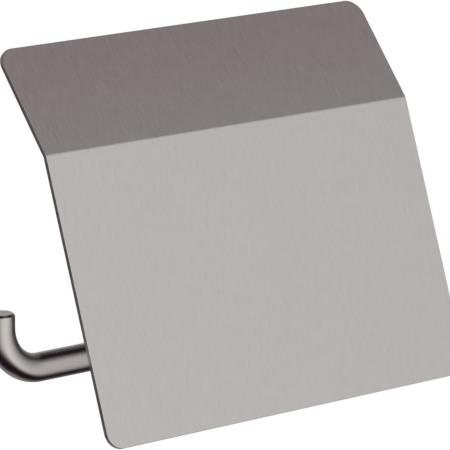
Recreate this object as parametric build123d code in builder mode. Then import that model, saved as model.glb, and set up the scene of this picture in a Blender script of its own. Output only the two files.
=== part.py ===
from build123d import *
from math import cos, hypot, radians, sin, tan
import os

os.makedirs("parts", exist_ok=True)

# Toilet paper holder: a bent sheet-metal cover hinged over a round bar with an upturned end.
# Millimetres. The wall is the plane Y = 0, the front looks along -Y and +Z is up. The origin lies on
# the wall, midway between the two wall-screw holes, in the middle of the cover's width.

# --- Driving dimensions ---------------------------------------------------------------------------

cover_width = 135.0
top_panel = 34.3  # from the top edge to the crease, on the outer face
front_panel = 82.7  # from the crease to the bottom edge, on the outer face
top_lean = 39.2  # degrees between the top panel and the vertical
front_lean = 19.2  # degrees between the front panel and the vertical
cover_sheet_thickness = 1.4
cover_corner = 5.0
crease_radius = 1.8  # on the outer face
cover_edge_break = 0.15

bar_radius = 4.0
bar_reach = 60.0  # from the wall to the bar's axis
bar_drop = 81.85  # from the cover's top edge down to the bar's axis
bar_bend = 13.0  # radius of both bends, on the bar's axis
bar_end_chamfer = 0.6
hook_outboard = 25.3  # from the cover's left edge to the hook's axis
hook_rise = 17.1  # from the bar's axis to the hook's end face

hinge_along = 6.0  # from the cover's top edge to the hinge pin, along the top panel
hinge_under = 7.5  # from the top panel's outer face to the hinge pin
opening_angle = 100.0  # degrees from rest to the open stop
pin_radius = 2.0
pin_end_chamfer = 0.3
clip_groove_radius = 1.6
clip_thickness = 0.6
clip_radius = 3.9

lug_outer_face = 25.5  # from the middle of the cover
lug_thickness = 6.0
thrust_washer_thickness = 0.5
thrust_washer_radius = 4.0
bush_flange_thickness = 0.8
bush_flange_radius = 3.8
bush_radius = 2.9

leaf_thickness = 1.5
leaf_half_width = 28.5
leaf_start = 1.0  # from the cover's top edge
leaf_length = 27.0
leaf_corner = 2.0
ear_thickness = 2.0
ear_nose = 4.2

stud_radius = 1.5
stud_length = 6.0
stud_tip_chamfer = 0.3
stud_spacing_x = 20.0
stud_spacing_along = 9.0
stud_first_along = 13.0
stud_washer_radius = 3.2
stud_washer_thickness = 0.6
nut_across_flats = 5.5
nut_thickness = 2.4
nut_chamfer = 0.3

pad_radius = 4.5
pad_thickness = 1.8
pad_round = 0.6
pad_positions = (-50.0, 30.0)

beam_height = 26.0
beam_left = -27.0
leg_width = 20.0
leg_right = 66.0
leg_below_bar = 16.0
carrier_wall = 3.0
carrier_corner = 4.0
carrier_inner_corner = 8.0
carrier_edge_round = 1.2
axis_below_top = 0.6  # from the carrier's top face down to the hinge pin
bar_boss_radius = 10.0
pocket_corner = 1.5
relief_right = 43.0

screw_hole_spacing = 32.0
screw_hole_radius = 2.5
bracket_half_width = 22.5
bracket_sheet = 2.0
bracket_depth = 9.0
bracket_bend = 2.5

grub_radius = 2.0
grub_spacing = 24.0
grub_depth = 6.0  # from the wall to the grub screws' axes
grub_tip_radius = 0.9
grub_tip_base = 1.4
grub_tip_height = 0.9
grub_seat_radius = 1.6
grub_socket_flats = 2.0
grub_socket_depth = 1.6

wall_pad_length = 12.0
wall_pad_height = 4.6
wall_pad_thickness = 1.0
foot_pad_above_bottom = 4.7

bar_seat_depth = 7.5
bar_screw_radius = 2.5
bar_screw_length = 12.7
bar_screw_hole_extra = 1.5
bar_head_radius = 4.25
bar_head_height = 2.8
bar_socket_flats = 3.0
bar_socket_depth = 1.6
bar_washer_radius = 4.8
bar_washer_thickness = 1.0
counterbore_radius = 5.75
counterbore_depth = 4.6

key_radius = 1.25
key_end_gap = 0.25

collar_radius = 10.0
collar_thickness = 3.5
collar_round = 1.0
o_ring_section = 0.8  # radius of the ring's round section
o_ring_recess = 1.7

# --- Clearances -----------------------------------------------------------------------------------

running_clearance = 0.06  # radial, pin in bush
seat_clearance = 0.02  # radial, pieces fixed in their holes
slip_clearance = 0.05  # radial, rings over the bar and discs over the pin
bolt_clearance = 0.15  # radial, screws through plain holes
hinge_end_play = 0.1
stop_gap = 0.3  # cover to each of its stops
sweep_gap = 0.6  # cover's top edge to the carrier, as it swings past
bracket_gap = 0.5  # bracket to the pocket's walls

# --- Worked-out places ----------------------------------------------------------------------------
# Points in the side view are (depth, height): depth is the distance from the wall.

top_down = (sin(radians(top_lean)), -cos(radians(top_lean)))
top_in = (-cos(radians(top_lean)), -sin(radians(top_lean)))
front_down = (sin(radians(front_lean)), -cos(radians(front_lean)))
front_in = (-cos(radians(front_lean)), -sin(radians(front_lean)))

sweep_radius = hypot(hinge_along, hinge_under)
axis_height = beam_height / 2 - axis_below_top
edge_height = axis_height - hinge_along * top_down[1] - hinge_under * top_in[1]
bar_height = edge_height - bar_drop

crease_below_edge = -top_panel * top_down[1]
surface_at_bar = top_panel * top_down[0] + (bar_drop - crease_below_edge) * tan(radians(front_lean))
bar_to_outer_face = bar_radius + stop_gap + pad_thickness + cover_sheet_thickness
edge_to_bar = surface_at_bar - bar_to_outer_face / cos(radians(front_lean))
edge_depth = bar_reach - edge_to_bar

axis_depth = edge_depth + hinge_along * top_down[0] + hinge_under * top_in[0]
carrier_depth = axis_depth - sweep_radius - sweep_gap

crease_depth = edge_depth + top_panel * top_down[0]
crease_height = edge_height + top_panel * top_down[1]
pad_along = (bar_reach - crease_depth) * front_down[0] + (bar_height - crease_height) * front_down[1]

lug_inner_face = lug_outer_face - lug_thickness
bush_outer_face = lug_inner_face - thrust_washer_thickness - hinge_end_play
ear_outer_face = bush_outer_face - bush_flange_thickness
lug_nose = hinge_under - cover_sheet_thickness - leaf_thickness - stop_gap
clip_groove_start = lug_outer_face + slip_clearance
clip_groove_end = clip_groove_start + clip_thickness + 2 * slip_clearance
pin_half_length = clip_groove_end + 2 * clip_thickness

beam_top = beam_height / 2
beam_bottom = -beam_height / 2
leg_left = leg_right - leg_width
leg_bottom = bar_height - leg_below_bar
bar_x = leg_right - leg_width / 2
hook_x = -cover_width / 2 - hook_outboard
bar_root_depth = carrier_depth - bar_seat_depth
pocket_depth = carrier_depth - carrier_wall
pocket_half_height = beam_height / 2 - carrier_wall
bracket_half_height = pocket_half_height - bracket_gap
screw_head_face = counterbore_depth - bar_washer_thickness


def top_point(along, under):
    """Point so far down the top panel from its top edge and so far below its outer face."""
    return (
        edge_depth + along * top_down[0] + under * top_in[0],
        edge_height + along * top_down[1] + under * top_in[1],
    )


def front_point(along, under):
    """Point so far down the front panel from the crease and so far below its outer face."""
    return (
        crease_depth + along * front_down[0] + under * front_in[0],
        crease_height + along * front_down[1] + under * front_in[1],
    )


def panel_plane(point, lean):
    """Plane parallel to a panel through a side-view point: x along the width, y up the panel, z out."""
    outward = (0, -cos(radians(lean)), sin(radians(lean)))
    return Plane(origin=(0, -point[0], point[1]), x_dir=(1, 0, 0), z_dir=outward)


def side_plane(x):
    """Side-view plane through x: its x is depth, its y is height, and it extrudes towards -X."""
    return Plane(origin=(x, 0, 0), x_dir=(0, -1, 0), z_dir=(-1, 0, 0))


def wall_plane(depth):
    """Plane parallel to the wall, so far in front of it: x is X, y is Z, and it extrudes outwards."""
    return Plane.XZ.offset(depth)


axis_point = (axis_depth, axis_height)
bar_point = (bar_x, bar_height)
key_point = (bar_x, bar_height - bar_radius)
screw_hole_points = [(side * screw_hole_spacing / 2, 0) for side in (-1, 1)]
grub_points = [(side * grub_spacing / 2, -grub_depth) for side in (-1, 1)]
stud_rows = [-stud_first_along - row * stud_spacing_along for row in (0, 1)]
stud_points = [(side * stud_spacing_x / 2, row) for side in (-1, 1) for row in stud_rows]


def edges_on(piece, plane):
    """The edges of a piece that lie on a plane."""
    return [edge for edge in piece.edges() if plane.contains(edge.center())]


def write(piece, name):
    """Label a finished piece and write it as its own file."""
    piece.part.label = name
    export_step(piece.part, f"parts/{name}.step")


# --- Cover: everything that swings ----------------------------------------------------------------

half_bend = radians((top_lean - front_lean) / 2)
mean_lean = radians((top_lean + front_lean) / 2)
mitre = cover_sheet_thickness / cos(half_bend)
inner_crease = (crease_depth - mitre * cos(mean_lean), crease_height - mitre * sin(mean_lean))


def crease_lines(sheet):
    """The lines along the crease, from the outermost to the innermost."""
    band = (crease_height - 2 * cover_sheet_thickness, crease_height + cover_sheet_thickness)
    return sheet.edges().filter_by(Axis.X).filter_by_position(Axis.Z, *band).sort_by(Axis.Y)


def is_corner(edge):
    """True for the short edges through the sheet at its four corners."""
    return abs(edge.length - cover_sheet_thickness) < cover_edge_break


def is_outline(edge):
    """True for the edges round the sheet's two faces, but not the lines beside the crease."""
    along_width = abs(edge.tangent_at(0).X) > cos(half_bend)
    beside_crease = abs(edge.center().Z - crease_height) < crease_radius + cover_sheet_thickness
    return not is_corner(edge) and not (along_width and beside_crease)


with BuildPart() as cover_sheet:
    with BuildSketch(side_plane(cover_width / 2)):
        with BuildLine():
            Polyline(
                top_point(0, 0),
                (crease_depth, crease_height),
                front_point(front_panel, 0),
                front_point(front_panel, cover_sheet_thickness),
                inner_crease,
                top_point(0, cover_sheet_thickness),
                close=True,
            )
        make_face()
    extrude(amount=cover_width)
    fillet(cover_sheet.edges().filter_by(is_corner), cover_corner)
    fillet(crease_lines(cover_sheet)[0], crease_radius)
    fillet(crease_lines(cover_sheet)[-1], crease_radius - cover_sheet_thickness)
    fillet(cover_sheet.edges().filter_by(is_outline), cover_edge_break)
write(cover_sheet, "cover_sheet")

ear_end_circle = leaf_thickness / 4
ear_top = top_point(leaf_start + leaf_corner, cover_sheet_thickness + leaf_thickness / 2)
ear_foot = top_point(leaf_start + leaf_length - leaf_corner, cover_sheet_thickness + leaf_thickness / 2)

with BuildPart() as hinge_leaf:
    with BuildSketch(panel_plane(top_point(0, cover_sheet_thickness + leaf_thickness), top_lean)) as leaf_plate:
        with Locations((0, -leaf_start - leaf_length / 2)):
            Rectangle(2 * leaf_half_width, leaf_length)
        fillet(leaf_plate.vertices(), leaf_corner)
        with Locations(*stud_points):
            Circle(stud_radius + bolt_clearance, mode=Mode.SUBTRACT)
    extrude(amount=leaf_thickness)
    for ear_start in (ear_outer_face, ear_thickness - ear_outer_face):
        with BuildSketch(side_plane(ear_start)):
            with BuildSketch(side_plane(ear_start)):
                with Locations(axis_point):
                    Circle(ear_nose)
                with Locations(ear_top, ear_foot):
                    Circle(ear_end_circle)
                make_hull()
            with Locations(axis_point):
                Circle(bush_radius + seat_clearance, mode=Mode.SUBTRACT)
        extrude(amount=ear_thickness)
write(hinge_leaf, "hinge_leaf")

stud_tip_plane = panel_plane(top_point(0, cover_sheet_thickness + stud_length), top_lean)

with BuildPart() as cover_studs:
    with BuildSketch(panel_plane(top_point(0, cover_sheet_thickness), top_lean)):
        with Locations(*stud_points):
            Circle(stud_radius)
    extrude(amount=-stud_length)
    chamfer(edges_on(cover_studs, stud_tip_plane), stud_tip_chamfer)
write(cover_studs, "cover_studs")

washer_face = cover_sheet_thickness + leaf_thickness

with BuildPart() as stud_washers:
    with BuildSketch(panel_plane(top_point(0, washer_face), top_lean)):
        with Locations(*stud_points):
            Circle(stud_washer_radius)
            Circle(stud_radius + bolt_clearance, mode=Mode.SUBTRACT)
    extrude(amount=-stud_washer_thickness)
write(stud_washers, "stud_washers")

nut_plane = panel_plane(top_point(0, washer_face + stud_washer_thickness), top_lean)
nut_end_plane = panel_plane(top_point(0, washer_face + stud_washer_thickness + nut_thickness), top_lean)

with BuildPart() as stud_nuts:
    with BuildSketch(nut_plane):
        with Locations(*stud_points):
            RegularPolygon(nut_across_flats / 2, side_count=6, major_radius=False)
    extrude(amount=-nut_thickness)
    chamfer(edges_on(stud_nuts, nut_end_plane), nut_chamfer)
    with BuildSketch(nut_plane):
        with Locations(*stud_points):
            Circle(stud_radius + seat_clearance)
    extrude(amount=-nut_thickness, mode=Mode.SUBTRACT)
write(stud_nuts, "stud_nuts")

pad_points = [(x, -pad_along) for x in pad_positions]
pad_face_plane = panel_plane(front_point(0, cover_sheet_thickness + pad_thickness), front_lean)

with BuildPart() as bumper_pads:
    with BuildSketch(panel_plane(front_point(0, cover_sheet_thickness), front_lean)):
        with Locations(*pad_points):
            Circle(pad_radius)
    extrude(amount=-pad_thickness)
    fillet(edges_on(bumper_pads, pad_face_plane), pad_round)
write(bumper_pads, "bumper_pads")

with BuildPart() as hinge_bushes:
    for side in (-1, 1):
        sleeve_start = max(side * ear_outer_face, side * (ear_outer_face - ear_thickness))
        flange_start = max(side * bush_outer_face, side * ear_outer_face)
        for start, length, radius in (
            (sleeve_start, ear_thickness, bush_radius),
            (flange_start, bush_flange_thickness, bush_flange_radius),
        ):
            with BuildSketch(side_plane(start)):
                with Locations(axis_point):
                    Circle(radius)
                    Circle(pin_radius + running_clearance, mode=Mode.SUBTRACT)
            extrude(amount=length)
write(hinge_bushes, "hinge_bushes")

# --- Hinge pin and its rings: fixed in the carrier ------------------------------------------------

with BuildPart() as hinge_pin:
    with BuildSketch(side_plane(pin_half_length)):
        with Locations(axis_point):
            Circle(pin_radius)
    extrude(amount=2 * pin_half_length)
    chamfer(hinge_pin.edges().filter_by(GeomType.CIRCLE), pin_end_chamfer)
    for start in (clip_groove_end, -clip_groove_start):
        with BuildSketch(side_plane(start)):
            with Locations(axis_point):
                Circle(pin_radius + slip_clearance)
                Circle(clip_groove_radius, mode=Mode.SUBTRACT)
        extrude(amount=clip_groove_end - clip_groove_start, mode=Mode.SUBTRACT)
write(hinge_pin, "hinge_pin")

with BuildPart() as thrust_washers:
    for start in (lug_inner_face, thrust_washer_thickness - lug_inner_face):
        with BuildSketch(side_plane(start)):
            with Locations(axis_point):
                Circle(thrust_washer_radius)
                Circle(pin_radius + slip_clearance, mode=Mode.SUBTRACT)
        extrude(amount=thrust_washer_thickness)
write(thrust_washers, "thrust_washers")

with BuildPart() as pin_clips:
    for start in (clip_groove_end - slip_clearance, -clip_groove_start - slip_clearance):
        with BuildSketch(side_plane(start)):
            with Locations(axis_point):
                Circle(clip_radius)
                Circle(clip_groove_radius + seat_clearance, mode=Mode.SUBTRACT)
            with Locations((axis_depth, axis_height - clip_radius / 2)):
                Rectangle(2 * clip_groove_radius, clip_radius, mode=Mode.SUBTRACT)
        extrude(amount=clip_thickness)
write(pin_clips, "pin_clips")

# --- Carrier: the casting that holds the hinge and the bar ----------------------------------------

flank = radians(top_lean + opening_angle)
lug_out = (lug_nose * cos(flank), lug_nose * sin(flank))
lug_root_depth = carrier_depth - carrier_wall + carrier_edge_round


def flank_end(start):
    """Where a lug flank that leaves from start reaches the lug's root, inside the carrier's wall."""
    run = (start[0] - lug_root_depth) / sin(flank)
    return (lug_root_depth, start[1] + run * cos(flank))


upper_flank = (axis_depth + lug_out[0], axis_height + lug_out[1])
lower_flank = (axis_depth - lug_out[0], axis_height - lug_out[1])
relief_left = bracket_half_width + bracket_gap + carrier_wall
pad_centres = [(bar_x, 0), (bar_x, leg_bottom + foot_pad_above_bottom)]
leg_pocket_top = beam_bottom + carrier_wall
leg_pocket_bottom = bar_height + bar_boss_radius

with BuildPart() as carrier:
    with BuildSketch(wall_plane(0)) as carrier_outline:
        with BuildLine():
            Polyline(
                (beam_left, beam_top),
                (leg_right, beam_top),
                (leg_right, leg_bottom),
                (leg_left, leg_bottom),
                (leg_left, beam_bottom),
                (beam_left, beam_bottom),
                close=True,
            )
        make_face()
        armpit = carrier_outline.vertices().sort_by_distance((leg_left, 0, beam_bottom))[0]
        outer_corners = carrier_outline.vertices() - [armpit]
        fillet(outer_corners, carrier_corner)
        armpit = carrier_outline.vertices().sort_by_distance((leg_left, 0, beam_bottom))[0]
        fillet(armpit, carrier_inner_corner)
    extrude(amount=carrier_depth)
    fillet(carrier.faces().sort_by(Axis.Y)[0].edges(), carrier_edge_round)
    for lug_start in (lug_outer_face, -lug_inner_face):
        with BuildSketch(side_plane(lug_start)):
            with BuildLine():
                Polyline(
                    upper_flank,
                    flank_end(upper_flank),
                    flank_end(lower_flank),
                    lower_flank,
                    close=True,
                )
            make_face()
            with Locations(axis_point):
                Circle(lug_nose)
                Circle(pin_radius + seat_clearance, mode=Mode.SUBTRACT)
        extrude(amount=lug_thickness)
    with BuildSketch(wall_plane(0)) as pockets:
        Rectangle(2 * (bracket_half_width + bracket_gap), 2 * pocket_half_height)
        with Locations(((relief_left + relief_right) / 2, 0)):
            Rectangle(relief_right - relief_left, 2 * pocket_half_height)
        with Locations((bar_x, (leg_pocket_top + leg_pocket_bottom) / 2)):
            Rectangle(leg_width - 2 * carrier_wall, leg_pocket_top - leg_pocket_bottom)
        fillet(pockets.vertices(), pocket_corner)
    extrude(amount=pocket_depth, mode=Mode.SUBTRACT)
    with BuildSketch(wall_plane(0)):
        with Locations(*pad_centres):
            SlotOverall(wall_pad_length, wall_pad_height)
    extrude(amount=wall_pad_thickness, mode=Mode.SUBTRACT)
    with BuildSketch(wall_plane(0)):
        with Locations(bar_point):
            Circle(counterbore_radius)
    extrude(amount=counterbore_depth, mode=Mode.SUBTRACT)
    with BuildSketch(wall_plane(0)):
        with Locations(bar_point):
            Circle(bar_screw_radius + bolt_clearance)
    extrude(amount=carrier_depth, mode=Mode.SUBTRACT)
    with BuildSketch(wall_plane(bar_root_depth)):
        with Locations(bar_point):
            Circle(bar_radius + seat_clearance)
        with Locations(key_point):
            Circle(key_radius + seat_clearance)
    extrude(amount=bar_seat_depth, mode=Mode.SUBTRACT)
    with BuildSketch(Plane.XY.offset(beam_bottom)):
        with Locations(*grub_points):
            Circle(grub_radius + seat_clearance)
    extrude(amount=carrier_wall, mode=Mode.SUBTRACT)
write(carrier, "carrier")

with BuildPart() as wall_pads:
    with BuildSketch(wall_plane(0)):
        with Locations(*pad_centres):
            SlotOverall(wall_pad_length - 2 * slip_clearance, wall_pad_height - 2 * slip_clearance)
    extrude(amount=wall_pad_thickness)
write(wall_pads, "wall_pads")

with BuildPart() as wall_bracket:
    with BuildSketch(side_plane(bracket_half_width)) as channel:
        with Locations((bracket_depth / 2, 0)):
            Rectangle(bracket_depth, 2 * bracket_half_height)
        fillet(channel.vertices().group_by(Axis.Y)[-1], bracket_bend)
        with Locations((bracket_depth / 2 + bracket_sheet, 0)):
            Rectangle(bracket_depth, 2 * (bracket_half_height - bracket_sheet), mode=Mode.SUBTRACT)
    extrude(amount=2 * bracket_half_width)
    with BuildSketch(wall_plane(0)):
        with Locations(*screw_hole_points):
            Circle(screw_hole_radius)
    extrude(amount=bracket_sheet, mode=Mode.SUBTRACT)
    with BuildSketch(Plane.XY.offset(-bracket_half_height)):
        with Locations(*grub_points):
            Circle(grub_seat_radius)
    extrude(amount=bracket_sheet, mode=Mode.SUBTRACT)
write(wall_bracket, "wall_bracket")

grub_shoulder = -bracket_half_height - slip_clearance

with BuildPart() as grub_screws:
    with BuildSketch(Plane.XY.offset(beam_bottom)):
        with Locations(*grub_points):
            Circle(grub_radius)
    extrude(amount=grub_shoulder - beam_bottom)
    with Locations(*[(x, y, grub_shoulder + grub_tip_height / 2) for x, y in grub_points]):
        Cone(grub_tip_base, grub_tip_radius, grub_tip_height)
    with BuildSketch(Plane.XY.offset(beam_bottom)):
        with Locations(*grub_points):
            RegularPolygon(grub_socket_flats / 2, side_count=6, major_radius=False)
    extrude(amount=grub_socket_depth, mode=Mode.SUBTRACT)
write(grub_screws, "grub_screws")

# --- Bar: from its seat in the carrier, round two bends to the upturned end -----------------------

root_point = (bar_x, -bar_root_depth, bar_height)
hook_end = (hook_x, -bar_reach, bar_height + hook_rise)
first_arc_start = (bar_x, -bar_reach + bar_bend, bar_height)
first_arc_end = (bar_x - bar_bend, -bar_reach, bar_height)
second_arc_start = (hook_x + bar_bend, -bar_reach, bar_height)
second_arc_end = (hook_x, -bar_reach, bar_height + bar_bend)

with BuildPart() as roll_bar:
    with BuildLine() as bar_path:
        Line(root_point, first_arc_start)
        TangentArc(first_arc_start, first_arc_end, tangent=(0, -1, 0))
        Line(first_arc_end, second_arc_start)
        TangentArc(second_arc_start, second_arc_end, tangent=(-1, 0, 0))
        Line(second_arc_end, hook_end)
    with BuildSketch(wall_plane(bar_root_depth)):
        with Locations(bar_point):
            Circle(bar_radius)
    sweep(path=bar_path.wire())
    chamfer(edges_on(roll_bar, Plane.XY.offset(hook_end[2])), bar_end_chamfer)
    with BuildSketch(wall_plane(bar_root_depth)):
        with Locations(bar_point):
            Circle(bar_screw_radius + seat_clearance)
    extrude(amount=bar_screw_length - screw_head_face + bar_screw_hole_extra, mode=Mode.SUBTRACT)
    with BuildSketch(wall_plane(bar_root_depth)):
        with Locations(key_point):
            Circle(key_radius + seat_clearance)
    extrude(amount=bar_seat_depth, mode=Mode.SUBTRACT)
write(roll_bar, "roll_bar")

with BuildPart() as bar_key:
    with BuildSketch(wall_plane(bar_root_depth + key_end_gap)):
        with Locations(key_point):
            Circle(key_radius)
    extrude(amount=bar_seat_depth - 2 * key_end_gap)
write(bar_key, "bar_key")

o_ring_mid = bar_radius + slip_clearance + o_ring_section

with BuildPart() as bar_collar:
    with BuildSketch(wall_plane(carrier_depth)):
        with Locations(bar_point):
            Circle(collar_radius)
    extrude(amount=collar_thickness)
    fillet(bar_collar.faces().sort_by(Axis.Y)[0].edges(), collar_round)
    with BuildSketch(wall_plane(carrier_depth)):
        with Locations(bar_point):
            Circle(bar_radius + slip_clearance)
    extrude(amount=collar_thickness, mode=Mode.SUBTRACT)
    with BuildSketch(wall_plane(carrier_depth)):
        with Locations(bar_point):
            Circle(o_ring_mid + o_ring_section + slip_clearance)
    extrude(amount=o_ring_recess, mode=Mode.SUBTRACT)
write(bar_collar, "bar_collar")

with BuildPart() as collar_o_ring:
    with BuildSketch(Plane(origin=(bar_x, -carrier_depth, bar_height), x_dir=(1, 0, 0), z_dir=(0, 0, 1))):
        with Locations((o_ring_mid, -o_ring_recess / 2)):
            Circle(o_ring_section)
    revolve(axis=Axis((bar_x, 0, bar_height), (0, 1, 0)))
write(collar_o_ring, "collar_o_ring")

with BuildPart() as bar_washer:
    with BuildSketch(wall_plane(screw_head_face)):
        with Locations(bar_point):
            Circle(bar_washer_radius)
            Circle(bar_screw_radius + bolt_clearance, mode=Mode.SUBTRACT)
    extrude(amount=bar_washer_thickness)
write(bar_washer, "bar_washer")

with BuildPart() as bar_screw:
    with BuildSketch(wall_plane(screw_head_face)):
        with Locations(bar_point):
            Circle(bar_head_radius)
    extrude(amount=-bar_head_height)
    chamfer(bar_screw.faces().sort_by(Axis.Y)[-1].edges(), pin_end_chamfer)
    with BuildSketch(wall_plane(screw_head_face)):
        with Locations(bar_point):
            Circle(bar_screw_radius)
    extrude(amount=bar_screw_length)
    with BuildSketch(wall_plane(screw_head_face - bar_head_height)):
        with Locations(bar_point):
            RegularPolygon(bar_socket_flats / 2, side_count=6, major_radius=False)
    extrude(amount=bar_socket_depth, mode=Mode.SUBTRACT)
write(bar_screw, "bar_screw")
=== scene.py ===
# %% [markdown]
# # A toilet paper holder with a folded metal cover
# The holder is a round bar with an upturned end, under one sheet of brushed metal that is folded once
# and hangs from a hinge. The bench work is already done: the frame holds every part at its real size,
# in metres, with +Z up and the wall at Y = 0. This lesson gives the parts their finish and remakes the
# ones whose surface carries the look: the cover, the bar, the bumpers and the threaded hardware.

# %% Load the frame
import bmesh
import bpy
from math import cos, log, pi, radians, sin, sqrt, tan
from mathutils import Matrix, Vector


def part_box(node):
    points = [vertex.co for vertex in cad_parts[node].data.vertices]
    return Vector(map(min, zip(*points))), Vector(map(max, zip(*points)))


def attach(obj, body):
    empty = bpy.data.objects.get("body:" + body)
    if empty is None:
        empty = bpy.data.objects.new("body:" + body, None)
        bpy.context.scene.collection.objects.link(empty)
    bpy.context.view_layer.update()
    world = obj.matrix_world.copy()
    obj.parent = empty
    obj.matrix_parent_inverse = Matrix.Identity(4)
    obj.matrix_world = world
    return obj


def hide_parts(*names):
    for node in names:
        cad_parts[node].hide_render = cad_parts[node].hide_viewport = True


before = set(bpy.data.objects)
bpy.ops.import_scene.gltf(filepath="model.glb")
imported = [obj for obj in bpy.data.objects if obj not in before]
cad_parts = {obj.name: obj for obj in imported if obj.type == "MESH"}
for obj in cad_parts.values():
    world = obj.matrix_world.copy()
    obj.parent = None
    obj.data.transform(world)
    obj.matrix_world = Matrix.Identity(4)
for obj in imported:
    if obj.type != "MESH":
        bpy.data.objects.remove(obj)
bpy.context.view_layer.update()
MM = 0.001

# %% [markdown]
# ## Reading the holder's proportions off the frame
# A sheet folded once is fully described by its width, its thickness, the slope of each panel and the
# length of each panel. The slopes and the thickness are the maker's numbers. The two lengths follow
# from the depth and height of the cover's box, which gives two equations for two unknowns.

# %% Cover proportions
TOP_LEAN = radians(39.2)  # between the top panel and the vertical
FRONT_LEAN = radians(19.2)  # between the front panel and the vertical
SHEET = 1.4 * MM

cover_low, cover_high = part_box("cover_sheet")
cover_width = cover_high.x - cover_low.x
depth = cover_high.y - cover_low.y - SHEET * cos(TOP_LEAN)
height = cover_high.z - cover_low.z - SHEET * sin(FRONT_LEAN)
fold = sin(TOP_LEAN - FRONT_LEAN)
top_panel = (depth * cos(FRONT_LEAN) - height * sin(FRONT_LEAN)) / fold
front_panel = (height * sin(TOP_LEAN) - depth * cos(TOP_LEAN)) / fold
print("cover width, panels (mm):", *[round(v / MM, 2) for v in (cover_width, top_panel, front_panel)])

# %% [markdown]
# Each panel gets two directions: one down the panel and one straight out of its outer face. With them,
# any place on the cover is a few steps from the top edge, and no angle has to be worked out again.

# %% Directions on the cover
top_down = Vector((0, -sin(TOP_LEAN), -cos(TOP_LEAN)))
top_out = Vector((0, -cos(TOP_LEAN), sin(TOP_LEAN)))
front_down = Vector((0, -sin(FRONT_LEAN), -cos(FRONT_LEAN)))
front_out = Vector((0, -cos(FRONT_LEAN), sin(FRONT_LEAN)))
top_edge = Vector((0, cover_high.y - SHEET * cos(TOP_LEAN), cover_high.z))
crease = top_edge + top_panel * top_down
print("top edge and crease (mm):", *[[round(v / MM, 2) for v in place] for place in (top_edge, crease)])

# %% [markdown]
# ## The camera
# The holder is seen from the front left and a little above, from far off with a long lens, so that its
# edges stay almost parallel. Camera and aim point are worked out from the cover's own size.

# %% Camera
CAMERA_SIDE = radians(40.87)  # to the left of straight on
CAMERA_RISE = radians(12.245)
CAMERA_DISTANCE = 9.198  # in cover widths
AIM_ACROSS = 0.0893  # from the middle of the top edge, in cover widths, to the right in the picture
AIM_DOWN = 0.4266  # and downwards in the picture
LENS = 347.2
SENSOR = 36.0
CLIP_END = 20.0


def make_camera():
    """A long-lens camera that looks at the cover from the front left."""
    level = cos(CAMERA_RISE)
    look = Vector((sin(CAMERA_SIDE) * level, cos(CAMERA_SIDE) * level, -sin(CAMERA_RISE)))
    across = Vector((cos(CAMERA_SIDE), -sin(CAMERA_SIDE), 0))
    up = across.cross(look)
    aim = top_edge + cover_width * (AIM_ACROSS * across - AIM_DOWN * up)
    data = bpy.data.cameras.new("studio_camera")
    data.lens = LENS
    data.sensor_width = SENSOR
    data.clip_end = CLIP_END
    camera = bpy.data.objects.new("studio_camera", data)
    camera.location = aim - look * CAMERA_DISTANCE * cover_width
    camera.rotation_euler = look.to_track_quat("-Z", "Y").to_euler()
    bpy.context.collection.objects.link(camera)
    return camera


camera = make_camera()
bpy.context.scene.camera = camera
print("camera at", [round(v, 3) for v in camera.location])

# %% [markdown]
# ## The studio
# Brushed and satin metal shows its surroundings, so the light is a soft room rather than a lamp: a wide
# bright wall in front, a rosy card overhead, and dimmer cards behind and high on the left. Lamps would
# give hot spots, and a picture of a room would need a file, so the room is a world shader made of smooth
# patches of light, each about one direction. The camera itself sees plain white behind the holder.

# %% Cards of light
ROOM_DIM = (0.023, 0.012, 0.017)  # where no card reaches
BACKDROP = (1.0, 1.0, 1.0)
WARM_WHITE = (1.005, 1.0, 0.985)
ROSE_WHITE = (1.078, 1.020, 1.027)
CARDS = (
    # name, colour, strength, then in degrees: (compass, half width at half strength) and
    # (rise, half height of the full part, half height where the light ends).
    # The compass starts straight in front of the holder, and the right is plus.
    ("front_wall", WARM_WHITE, 1.02, (1, 48), (-3.3, 29.7, 54.6)),
    ("ceiling", ROSE_WHITE, 0.96, (4, 30), (50, 7, 15)),
    ("back_right", WARM_WHITE, 0.46, (150, 36), (14, 15, 32)),
    ("low_back", WARM_WHITE, 0.36, (160, 30), (-48, 8, 24)),
    ("back_left", WARM_WHITE, 0.05, (-135, 32), (10, 15, 50)),
    ("left_high", WARM_WHITE, 0.35, (-100, 38), (32, 8, 20)),
)
print("cards of light:", *[card[0] for card in CARDS])

# %% [markdown]
# A shader is a row of small sums. Three helpers keep them readable: one joins two sockets, one does a
# sum, and one turns a number smoothly into an amount of light. The smooth step matters, because a hard
# edge on a card would show as a line in the metal.

# %% Shader sums


def link(tree, source, target):
    """Join an output socket to an input socket."""
    tree.links.new(source, target)


def calculate(tree, operation, first, second):
    """One sum on two sockets or numbers."""
    sum_node = tree.nodes.new("ShaderNodeMath")
    sum_node.operation = operation
    for socket, value in zip(sum_node.inputs, (first, second)):
        if isinstance(value, bpy.types.NodeSocket):
            link(tree, value, socket)
        else:
            socket.default_value = value
    return sum_node.outputs["Value"]


def soft_step(tree, value, gone, full, strength):
    """A value smoothly turned into light: none at gone, all of it at full."""
    step = tree.nodes.new("ShaderNodeMapRange")
    step.interpolation_type = "SMOOTHSTEP"
    step.inputs["From Min"].default_value = gone
    step.inputs["From Max"].default_value = full
    step.inputs["To Max"].default_value = strength
    link(tree, value, step.inputs["Value"])
    return step.outputs["Result"]


print("ready: link, calculate, soft_step")

# %% [markdown]
# One card is a bell round the compass times a band in height. The bell is a power of a cosine, and the
# power is chosen so that half the light is left at the card's half width.

# %% The light of one card


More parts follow.
